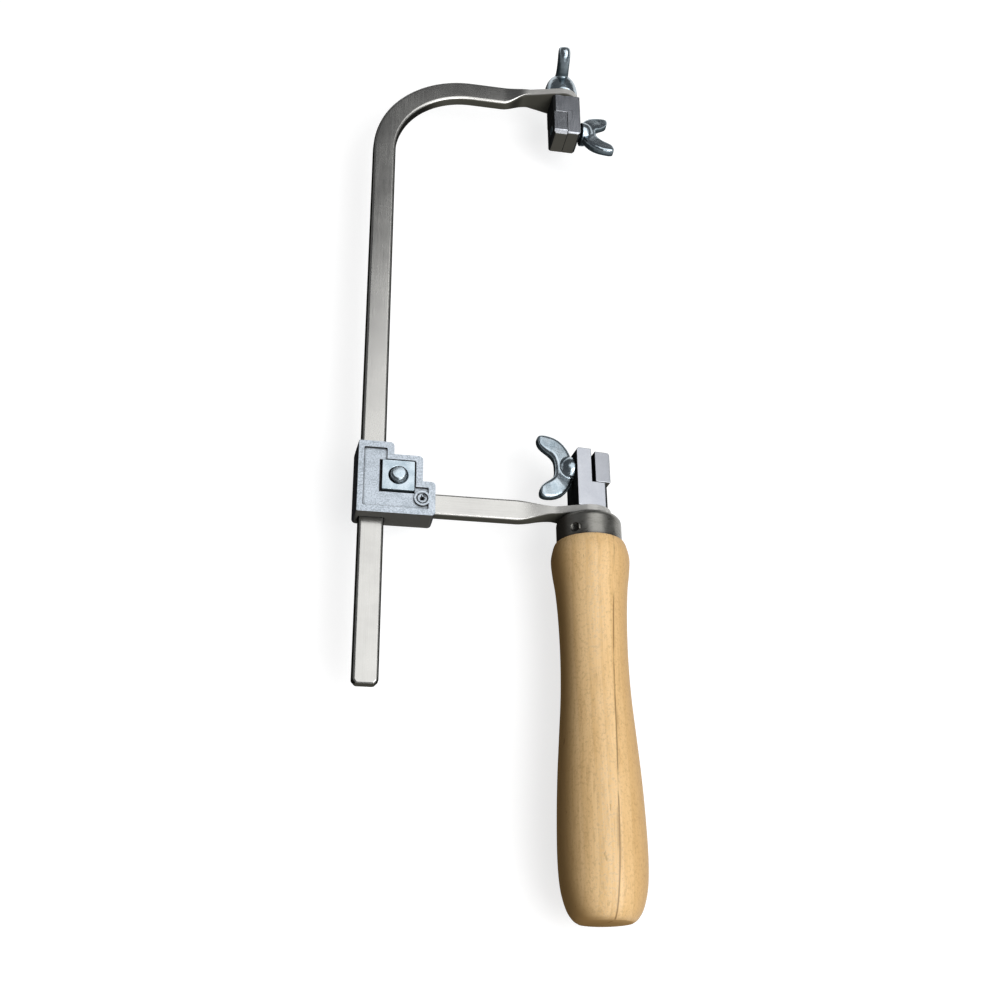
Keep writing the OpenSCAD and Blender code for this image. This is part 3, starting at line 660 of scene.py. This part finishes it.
def barFace(centre, normalAxis, width, thickness):
    # a flat face with round corners, the start of a bar
    turn = {"y": (math.pi / 2, 0.0, 0.0), "x": (0.0, math.pi / 2, 0.0)}[normalAxis]
    bpy.ops.mesh.primitive_plane_add(size=1.0, location=centre, rotation=turn)
    obj = bpy.context.active_object
    edit(obj)
    bpy.ops.mesh.select_all(action="SELECT")
    size = (width, 1.0, thickness) if normalAxis == "y" else (1.0, width, thickness)
    bpy.ops.transform.resize(value=size, center_override=tuple(centre))
    bpy.ops.mesh.bevel(offset=barShape["edgeRound"] * mm, segments=barShape["edgeSteps"],
                       affect="VERTICES")
    return obj


def forgeStart(end):
    return end["reach"] - end["tongue"] - end["run"]


def forgedEnd(growth, width, end):
    # the bar's width sinks to the tongue while its thickness spreads, then the eye swells
    s = barShape
    axis = end["axis"]
    start = forgeStart(end)
    for i in range(1, s["forgeSteps"] + 1):
        u = i / s["forgeSteps"]
        tall = blend(width, s["tongueThickness"], u)
        wide = blend(s["thickness"], s["tongueWidth"], u)
        growth.to(at(start + end["run"] * u, axis + blend(0.0, end["lift"], u), 0.0),
                  (1.0, tall * mm, wide * mm))
    neck = end["reach"] - end["tongue"]
    waist = s["tongueWidth"] / 2
    radius = end["eye"]
    place = axis + end["lift"]
    stations = [neck + i for i in range(1, int(end["tongue"]))]
    stations += [end["reach"] - radius * math.cos(math.radians(a)) for a in s["eyeAngles"]]
    stations += [end["reach"] + radius * s["eyeEnd"]]
    # the tongue's sides run straight to where they touch the eye's circle
    away = math.hypot(end["tongue"], waist)
    touch = math.pi - math.atan2(waist, end["tongue"]) - math.acos(radius / away)
    touchX = radius * math.cos(touch)
    touchHalf = radius * math.sin(touch)
    for x in sorted(set(round(v, 4) for v in stations)):
        fromCentre = x - end["reach"]
        if fromCentre < touchX:
            half = waist + (touchHalf - waist) * (x - neck) / (end["tongue"] + touchX)
        else:
            half = math.sqrt(max(radius * radius - fromCentre * fromCentre, 0.01))
        growth.to(at(x, place, 0.0), (1.0, s["tongueThickness"] * mm, 2 * half * mm))


def finishBar(obj, end):
    # clean normals, and the bore of the eye
    leave()
    tidyNormals(obj)
    drill(obj, barShape["eyeBore"], 20.0, at(end["reach"], end["axis"], 0.0), math.pi / 2)


def spineBar():
    s = barShape
    width = s["spineWidth"] * mm
    thick = s["thickness"] * mm
    tail = [(at(0.0, s["tail"] + up, 0.0), (width - narrow * mm, 1.0, thick - thin * mm))
            for up, narrow, thin in s["tailSteps"]]
    place, size = tail[0]
    obj = barFace(place, "y", size[0], size[2])
    growth = Growth(place, size)
    for place, size in tail[1:]:
        growth.to(place, size)
    straightEnd = s["rise"] - s["bendRadius"]
    for y in (*s["spineStops"], straightEnd):
        growth.to(at(0.0, y, 0.0), (width, 1.0, thick))
    bpy.ops.mesh.spin(steps=s["bendSteps"], angle=math.pi / 2, dupli=False,
                      center=at(s["bendRadius"], straightEnd, 0.0), axis=(0.0, 0.0, 1.0))
    growth = Growth(at(s["bendRadius"], s["rise"], 0.0), (1.0, width, thick))
    for x in (s["upperStop"], forgeStart(upperEnd)):
        growth.to(at(x, s["rise"], 0.0), (1.0, width, thick))
    forgedEnd(growth, s["spineWidth"], upperEnd)
    finishBar(obj, upperEnd)
    flatFaces(obj, 38.0)
    finishPiece(obj, "spineBar", "spine", "barSteel", "spine_bar")


def lowerArm():
    s = barShape
    width = s["armWidth"] * mm
    thick = s["thickness"] * mm
    axis = lowerEnd["axis"]
    obj = barFace(at(s["armRoot"], axis, 0.0), "x", width, thick)
    growth = Growth(at(s["armRoot"], axis, 0.0), (1.0, width, thick))
    for x in (*s["armStops"], forgeStart(lowerEnd)):
        growth.to(at(x, axis, 0.0), (1.0, width, thick))
    forgedEnd(growth, s["armWidth"], lowerEnd)
    finishBar(obj, lowerEnd)
    drill(obj, s["rivetBore"], 20.0, at(*rivetPlace, 0.0), sides=48)
    flatFaces(obj, 38.0)
    finishPiece(obj, "lowerArm", "bracket", "barSteel", "lower_arm")


spineBar()
lowerArm()


# castings, blocks and plates: the solids with their edges softened

# each solid's name here, its body and finish, and its bevel's width and steps
softened = {
    "bracket_body": ("bracketCasting", "bracket", "castZinc", 0.26, 3),
    "upper_clamp_block": ("upperClampBlock", "upper_clamp", "clampSteel", 0.20, 3),
    "upper_jaw_plate": ("upperJawPlate", "upper_plate", "plateSteel", 0.20, 3),
    "lower_clamp_block": ("lowerClampBlock", "bracket", "clampSteel", 0.20, 3),
    "lower_jaw_plate": ("lowerJawPlate", "lower_plate", "plateSteel", 0.20, 3),
    "bracket_nut": ("bracketNut", "bracket_square_nut", "zincPlate", 0.16, 3),
    "arm_rivet": ("armRivet", "bracket", "castZinc", 0.12, 2),
    "bracket_washer": ("bracketWasher", "bracket", "zincPlate", 0.18, 2),
}
# edges taken off at 45 degrees: the corner's signs along two axes, and the cut's leg
chamfers = {
    "upper_jaw_plate": [("yz", -1, 1, 1.15), ("xy", -1, -1, 0.6)],
    "upper_clamp_block": [("yz", -1, 1, 0.5), ("xy", 1, -1, 0.9)],
}
rivetShape = {"grooveRadius": 1.6, "grooveRound": 0.27, "markRadius": 1.15, "markLength": 2.0,
              "markRise": 0.85, "markTurn": 20.0}


def limits(obj):
    corners = [obj.matrix_world @ Vector(corner) for corner in obj.bound_box]
    return [(min(c[k] for c in corners), max(c[k] for c in corners)) for k in range(3)]


def takeOff(obj, plane, first, second, leg):
    ends = limits(obj)
    a, b = ["xyz".index(letter) for letter in plane]
    block = 40.0 * mm
    spot = [(low + high) / 2 for low, high in ends]
    reach = (block / 2 - leg * mm / math.sqrt(2)) / math.sqrt(2)
    spot[a] = ends[a][first > 0] + first * reach
    spot[b] = ends[b][second > 0] + second * reach
    turn = [0.0, 0.0, 0.0]
    turn[3 - a - b] = math.pi / 4
    bpy.ops.mesh.primitive_cube_add(size=block, location=spot, rotation=turn)
    cutAway(obj, bpy.context.active_object)


def stampRivet(obj, node):
    # the groove round the rivet, in it and in its boss, and the set's three-cornered mark
    r = rivetShape
    top = limits(bpy.data.objects["arm_rivet"])[2][1]
    spot = at(*rivetPlace, 0.0)
    bpy.ops.mesh.primitive_torus_add(
        location=(spot.x, spot.y, top), major_radius=r["grooveRadius"] * mm,
        minor_radius=r["grooveRound"] * mm, major_segments=56, minor_segments=12)
    cutAway(obj, bpy.context.active_object)
    if node == "arm_rivet":
        bpy.ops.mesh.primitive_cone_add(
            vertices=3, radius1=0.0, radius2=r["markRadius"] * mm, depth=r["markLength"] * mm,
            rotation=(0.0, 0.0, math.radians(r["markTurn"])),
            location=(spot.x, spot.y, top - r["markRise"] * mm))
        cutAway(obj, bpy.context.active_object)


def softenedCopy(node):
    name, body, finish, width, segments = softened[node]
    source = bpy.data.objects[node]
    obj = source.copy()
    obj.data = source.data.copy()
    obj.name = name
    obj.parent = None
    obj.matrix_world = source.matrix_world.copy()
    scene.collection.objects.link(obj)
    edit(obj)
    bpy.ops.mesh.select_all(action="SELECT")
    bpy.ops.mesh.remove_doubles(threshold=0.000003)
    bpy.ops.mesh.dissolve_limited(angle_limit=math.radians(1.0))
    leave()
    for cut in chamfers.get(node, []):
        takeOff(obj, *cut)
    if node in ("arm_rivet", "bracket_body"):
        stampRivet(obj, node)
    soften(obj, width, segments, 28.0)
    finishPiece(obj, name, body, finish, node)


for node in softened:
    softenedCopy(node)


# wing heads and threads

def wingEar(side, v):
    # one paddle: a face with narrow round corners inside the hub, drawn out and up to its tip
    stations = earPath(v)
    x, z, width, thick = stations[0][:4]
    bpy.ops.mesh.primitive_plane_add(size=1.0, location=(side * x * mm, 0.0, z * mm),
                                     rotation=(0.0, side * math.pi / 2, 0.0))
    obj = bpy.context.active_object
    edit(obj)
    bpy.ops.mesh.select_all(action="SELECT")
    bpy.ops.transform.resize(value=(1.0, thick * mm, width * mm),
                             center_override=(side * x * mm, 0.0, z * mm))
    bpy.ops.mesh.bevel(offset=v["rimRound"] * mm, segments=4, affect="VERTICES")
    place = Vector((side * x, 0.0, z))
    size = (thick, width)
    turned = 0.0
    for x, z, width, thick, turn in stations[1:]:
        spot = Vector((side * x, 0.0, z))
        bpy.ops.mesh.extrude_region_move(
            TRANSFORM_OT_translate={"value": tuple((spot - place) * mm)})
        centre = tuple(spot * mm)
        # with no window this operator turns from X up to Z
        bpy.ops.transform.rotate(value=-math.radians(turned), orient_axis="Y",
                                 center_override=centre)
        bpy.ops.transform.resize(value=(1.0, thick / size[0], width / size[1]),
                                 center_override=centre)
        bpy.ops.transform.rotate(value=math.radians(turn * side), orient_axis="Y",
                                 center_override=centre)
        place = spot
        size = (thick, width)
        turned = turn * side
    leave()
    tidyNormals(obj)
    return obj


# an ear in shares of half the span and of the height: its outer edge and its inner edge
earOutline = (
    (-0.06, 0.03, -0.06, 0.52), (0.28, 0.03, 0.08, 0.52), (0.46, 0.055, 0.15, 0.525),
    (0.60, 0.125, 0.23, 0.54), (0.74, 0.225, 0.30, 0.575), (0.86, 0.35, 0.36, 0.625),
    (0.94, 0.49, 0.41, 0.685), (0.985, 0.63, 0.455, 0.75), (1.0, 0.76, 0.51, 0.82),
    (0.998, 0.85, 0.56, 0.875), (0.98, 0.92, 0.62, 0.93), (0.95, 0.968, 0.70, 0.97),
    (0.89, 0.992, 0.78, 0.99),
)
# ears that spring from the top of a domed hub
raisedOutline = (
    (-0.06, 0.36, -0.06, 0.72), (0.22, 0.38, 0.08, 0.715), (0.36, 0.41, 0.15, 0.71),
    (0.50, 0.45, 0.24, 0.71), (0.64, 0.50, 0.32, 0.725), (0.78, 0.56, 0.39, 0.75),
    (0.89, 0.625, 0.46, 0.785), (0.96, 0.69, 0.53, 0.82), (0.995, 0.76, 0.60, 0.86),
    (0.998, 0.83, 0.66, 0.90), (0.975, 0.89, 0.72, 0.94), (0.935, 0.945, 0.78, 0.97),
    (0.875, 0.985, 0.83, 0.99),
)
# how many times its thickness the ear has from its root to its tip
flared = (1.02, 1.02, 1.04, 1.10, 1.14, 1.12, 1.06, 1.0, 1.0, 1.0, 0.97, 0.90, 0.78)
even = (1.10, 1.10, 1.06, 1.02, 1.0, 1.0, 1.0, 1.0, 1.0, 0.98, 0.94, 0.86, 0.70)


def earPath(v):
    # stations along one ear: place out and up, width, thickness, lean in degrees
    stations = []
    for (outerX, outerZ, innerX, innerZ), swell in zip(v["outline"], v["swell"]):
        outer = Vector((outerX * v["span"] / 2, outerZ * v["height"]))
        inner = Vector((innerX * v["span"] / 2, innerZ * v["height"]))
        across = outer - inner
        middle = (outer + inner) / 2
        lean = math.degrees(math.atan2(across.y, across.x)) + 90.0
        stations.append((middle.x, middle.y, across.length, v["thick"] * swell, lean))
    return stations


# a hub's rings, each in shares of the hub's diameter and of its height
hubShares = ((0.475, 0.0), (0.5, 0.03), (0.5, 0.20), (0.49, 0.36), (0.462, 0.53), (0.415, 0.68),
             (0.345, 0.82), (0.255, 0.92), (0.15, 0.98), (0.05, 1.0))


def hubBarrel(v):
    # a turned hub: rings drawn up from the seat to a dome
    first = hubShares[0][0] * v["hub"]
    bpy.ops.mesh.primitive_circle_add(vertices=56, radius=first * mm, fill_type="NGON",
                                      location=(0.0, 0.0, 0.0))
    obj = bpy.context.active_object
    edit(obj)
    bpy.ops.mesh.select_all(action="SELECT")
    growth = Growth((0.0, 0.0, 0.0), (first * mm, first * mm, 1.0))
    for r, h in hubShares[1:]:
        growth.to((0.0, 0.0, h * v["hubRise"] * mm), (r * v["hub"] * mm, r * v["hub"] * mm, 1.0))
    leave()
    tidyNormals(obj)
    return obj


# depth, half base and half crest are shares of the pitch; the ridge's base is sunk in the core
threadShape = {"depth": 0.55, "base": 0.46, "crest": 0.09, "sunk": 0.12, "inside": 0.02,
               "steps": 28, "endBevel": 0.25}


def threadedShank(diameter, length, pitch):
    # a core and a ridge that winds down it, both inside the shank's diameter
    t = threadShape
    radius = diameter / 2
    root = radius - pitch * t["depth"]
    bpy.ops.mesh.primitive_cylinder_add(vertices=40, radius=root * mm, depth=length * mm,
                                        location=(0.0, 0.0, -length / 2 * mm))
    core = bpy.context.active_object
    edit(core)
    bpy.ops.mesh.select_mode(type="FACE")
    bpy.ops.mesh.select_all(action="DESELECT")
    leave()
    for face in core.data.polygons:
        face.select = face.normal.z < -0.9
    edit(core)
    bpy.ops.mesh.bevel(offset=t["endBevel"] * mm, segments=3, affect="EDGES")
    leave()
    bpy.ops.mesh.primitive_plane_add(size=1.0, location=(0.0, 0.0, 0.0))
    ridge = bpy.context.active_object
    half = pitch * t["base"]
    crest = pitch * t["crest"]
    low = root - t["sunk"]
    high = radius - t["inside"]
    outline = ((low, -half), (high, -crest), (high, crest), (low, half))
    lowest = -length + half + t["sunk"]
    for vertex, (x, z) in zip((ridge.data.vertices[i] for i in (0, 1, 3, 2)), outline):
        vertex.co = Vector((x, 0.0, z + lowest)) * mm
    modifier = ridge.modifiers.new("wind", "SCREW")
    modifier.axis = "Z"
    modifier.angle = math.tau
    modifier.steps = t["steps"]
    modifier.render_steps = t["steps"]
    modifier.iterations = max(int((length - half) / pitch), 1)
    modifier.screw_offset = pitch * mm
    modifier.use_smooth_shade = True
    edit(ridge)
    bpy.ops.mesh.select_all(action="SELECT")
    bpy.ops.mesh.delete(type="ONLY_FACE")
    leave()
    applyAll(ridge)
    edit(ridge)
    bpy.ops.mesh.select_mode(type="EDGE")
    bpy.ops.mesh.select_all(action="DESELECT")
    bpy.ops.mesh.select_non_manifold()
    bpy.ops.mesh.fill_holes(sides=8)
    bpy.ops.mesh.select_all(action="SELECT")
    bpy.ops.mesh.normals_make_consistent(inside=False)
    leave()
    return joined(core, ridge)


def wingHead(v):
    hub = hubBarrel(v)
    ears = [wingEar(side, v) for side in (-1, 1)]
    head = joined(hub, *ears)
    modifier = head.modifiers.new("forge", "REMESH")
    modifier.mode = "VOXEL"
    modifier.voxel_size = v["grain"] * mm
    modifier = head.modifiers.new("polish", "SMOOTH")
    modifier.factor = 0.5
    modifier.iterations = v["polish"]
    applyAll(head)
    return head


jawScrew = {
    "hub": 8.2, "hubRise": 4.4, "span": 22.5, "height": 11.0, "thick": 3.0, "rimRound": 1.0,
    "grain": 0.16, "polish": 4, "outline": earOutline, "swell": flared, "bore": None,
}
# a jaw screw's seat is in its clamp's own axes, at the place and turn that clamp gives
wings = {
    "upper_wing_screw": {
        **jawScrew, "name": "upperWingScrew", "body": "upper_screw", "thread": (4.0, 10.5, 0.7),
        "clamp": (63.6, 162.3, 0.0), "clampTurn": (180.0, "Z"), "seat": (-5.7, 12.3, 0.0),
        "turn": -20.0,
    },
    "lower_wing_screw": {
        **jawScrew, "name": "lowerWingScrew", "body": "lower_screw", "thread": (4.0, 9.5, 0.7),
        "clamp": (66.25, 1.2, 0.0), "clampTurn": (5.0, "Y"), "seat": (-4.7, 13.9, 0.0),
        "turn": 5.0,
    },
    "bracket_wing_screw": {
        "name": "bracketWingScrew", "body": "bracket_screw", "hub": 9.6, "hubRise": 6.0,
        "span": 22.0, "height": 11.5, "thick": 3.3, "rimRound": 1.2, "grain": 0.18, "polish": 5,
        "outline": earOutline, "swell": flared, "bore": None, "thread": (5.0, 12.0, 0.8),
        "seat": (*boltPlace, -4.41), "tip": 180.0, "turn": 15.0,
    },
    "tension_wing_nut": {
        "name": "tensionWingNut", "body": "tension_nut", "hub": 11.8, "hubRise": 9.8,
        "span": 27.0, "height": 13.7, "thick": 4.3, "rimRound": 2.0, "grain": 0.18, "polish": 9,
        "outline": raisedOutline, "swell": even, "bore": 2.55, "thread": None,
        "seat": (62.8, 164.9, 0.0), "tip": -90.0, "turn": 85.0,
    },
}


def turnAbout(degrees, axis):
    return Matrix.Rotation(math.radians(degrees), 4, axis)


def seatMatrix(v):
    # the same turns as the solid's: wings across the frame, then turned on their axis
    if "tip" in v:
        seat = Matrix.Translation(at(*v["seat"]))
        return seat @ turnAbout(v["tip"], "X") @ turnAbout(v["turn"], "Z")
    clamp = Matrix.Translation(at(*v["clamp"])) @ turnAbout(*v["clampTurn"])
    seat = Matrix.Translation(Vector(v["seat"]) * mm)
    return clamp @ seat @ turnAbout(-90.0, "Y") @ turnAbout(90.0 + v["turn"], "Z")


def wingPiece(node):
    v = wings[node]
    obj = wingHead(v)
    if v["bore"]:
        drill(obj, v["bore"], 50.0, (0.0, 0.0, 0.0))
    if v["thread"]:
        obj = joined(obj, threadedShank(*v["thread"]))
    obj.matrix_world = seatMatrix(v) @ obj.matrix_world
    smooth(obj, 75.0)
    finishPiece(obj, v["name"], v["body"], "zincPlate", node)


for node in wings:
    wingPiece(node)


# tension stud, with its thread

studShape = {"thread": (5.0, 13.1, 0.8), "foot": (62.8, 156.8, 0.0)}


def tensionStud():
    obj = threadedShank(*studShape["thread"])
    foot = Matrix.Translation(at(*studShape["foot"]))
    obj.matrix_world = foot @ turnAbout(90.0, "X") @ obj.matrix_world
    smooth(obj, 40.0)
    finishPiece(obj, "tensionStud", "upper_clamp", "zincPlate", "tension_stud")


tensionStud()


# handle, turned on the lathe

handleShape = {
    "axisX": 66.25, "rim": 10.0, "length": 108.9, "belly": 12.35, "sides": 128, "steps": 6,
    "spigot": ((3.0, 8.0), (9.8, 8.85)),    # inside the ferrule
    # shares of the length and of the belly's radius
    "shares": [(0.0, 0.86), (0.012, 0.9), (0.043, 0.954), (0.085, 0.929), (0.137, 0.868),
               (0.22, 0.818), (0.324, 0.797), (0.428, 0.818), (0.532, 0.881), (0.636, 0.946),
               (0.74, 0.987), (0.844, 1.0), (0.916, 0.959), (0.965, 0.85), (0.99, 0.72),
               (1.0, 0.6)],
}


def through(points, i, u):
    # a smooth curve through the points, at share u of the way from point i to the next
    a = points[max(i - 1, 0)]
    b = points[i]
    c = points[i + 1]
    d = points[min(i + 2, len(points) - 1)]
    return tuple((2 * b[k] + (c[k] - a[k]) * u + (2 * a[k] - 5 * b[k] + 4 * c[k] - d[k]) * u * u
                  + (3 * b[k] - a[k] - 3 * c[k] + d[k]) * u ** 3) / 2 for k in (0, 1))


def turnedHandle():
    s = handleShape
    profile = [through(s["shares"], i, k / s["steps"])
               for i in range(len(s["shares"]) - 1) for k in range(s["steps"])]
    profile.append(s["shares"][-1])
    rings = list(s["spigot"])
    rings += [(s["rim"] + t * s["length"], r * s["belly"]) for t, r in profile]
    obj = drawnRings(s["axisX"], rings, s["sides"])
    smooth(obj, 40.0)
    finishPiece(obj, "turnedHandle", "bracket", "wood", "handle")


turnedHandle()


# ferrule: a drawn cup with a round shoulder and a deep punch mark

cup = {
    "axisX": 66.25, "top": 1.4, "height": 8.6, "radius": 9.9, "shoulder": 2.2, "sheet": 1.0,
    "sides": 120, "rimBevel": 0.14, "bore": 2.52,
    "markAngle": -39.5, "markDrop": 7.3, "markBall": 1.75, "markDepth": 0.95,
    "burrAngle": -31.0, "burrSunk": 0.12, "burr": (0.50, 1.10, 0.62),
}


def turnedCup(radius, shoulder, top, bottom):
    angles = [math.radians(a) for a in range(0, 91, 10)]
    rings = [(top + shoulder * (1.0 - math.cos(a)), radius - shoulder + shoulder * math.sin(a))
             for a in angles]
    return drawnRings(cup["axisX"], rings + [(bottom, radius)], cup["sides"])


def onCup(out, angle):
    # a place beside the cup's axis, at the punch mark's height
    return at(cup["axisX"] + out * math.sin(angle), -cup["markDrop"], out * math.cos(angle))


def drawnFerrule():
    c = cup
    rim = c["top"] + c["height"]
    obj = turnedCup(c["radius"], c["shoulder"], c["top"], rim)
    cutAway(obj, turnedCup(c["radius"] - c["sheet"], c["shoulder"] - c["sheet"],
                           c["top"] + c["sheet"], rim + 1.0))
    drill(obj, c["bore"], 6.0, at(c["axisX"], -c["top"], 0.0), math.pi / 2, 48)
    bpy.ops.mesh.primitive_uv_sphere_add(
        segments=48, ring_count=24, radius=c["markBall"] * mm,
        location=onCup(c["radius"] + c["markBall"] - c["markDepth"],
                       math.radians(c["markAngle"])))
    cutAway(obj, bpy.context.active_object)
    soften(obj, c["rimBevel"], 2, 30.0)
    # the metal that the punch pushed up on one side
    turn = math.radians(c["burrAngle"])
    bpy.ops.mesh.primitive_uv_sphere_add(
        segments=32, ring_count=16, radius=mm, location=onCup(c["radius"] - c["burrSunk"], turn),
        scale=c["burr"], rotation=(0.0, turn, 0.0))
    burr = bpy.context.active_object
    smooth(burr, 60.0)
    obj = joined(obj, burr)
    finishPiece(obj, "drawnFerrule", "bracket", "ferruleSteel", "ferrule")


drawnFerrule()


# what stays of the frame's own solids, and the floor

tang = bpy.data.objects["handle_tang"]
tang.data.materials.clear()
tang.data.materials.append(finishes["barSteel"])

bpy.ops.mesh.primitive_plane_add(size=studio["floorSize"],
                                 location=(0.0, 0.0, studio["floorHeight"]))
floor = bpy.context.active_object
floor.name = "studioFloor"
floor.data.materials.append(finishes["floor"])

print("all pieces are in place")
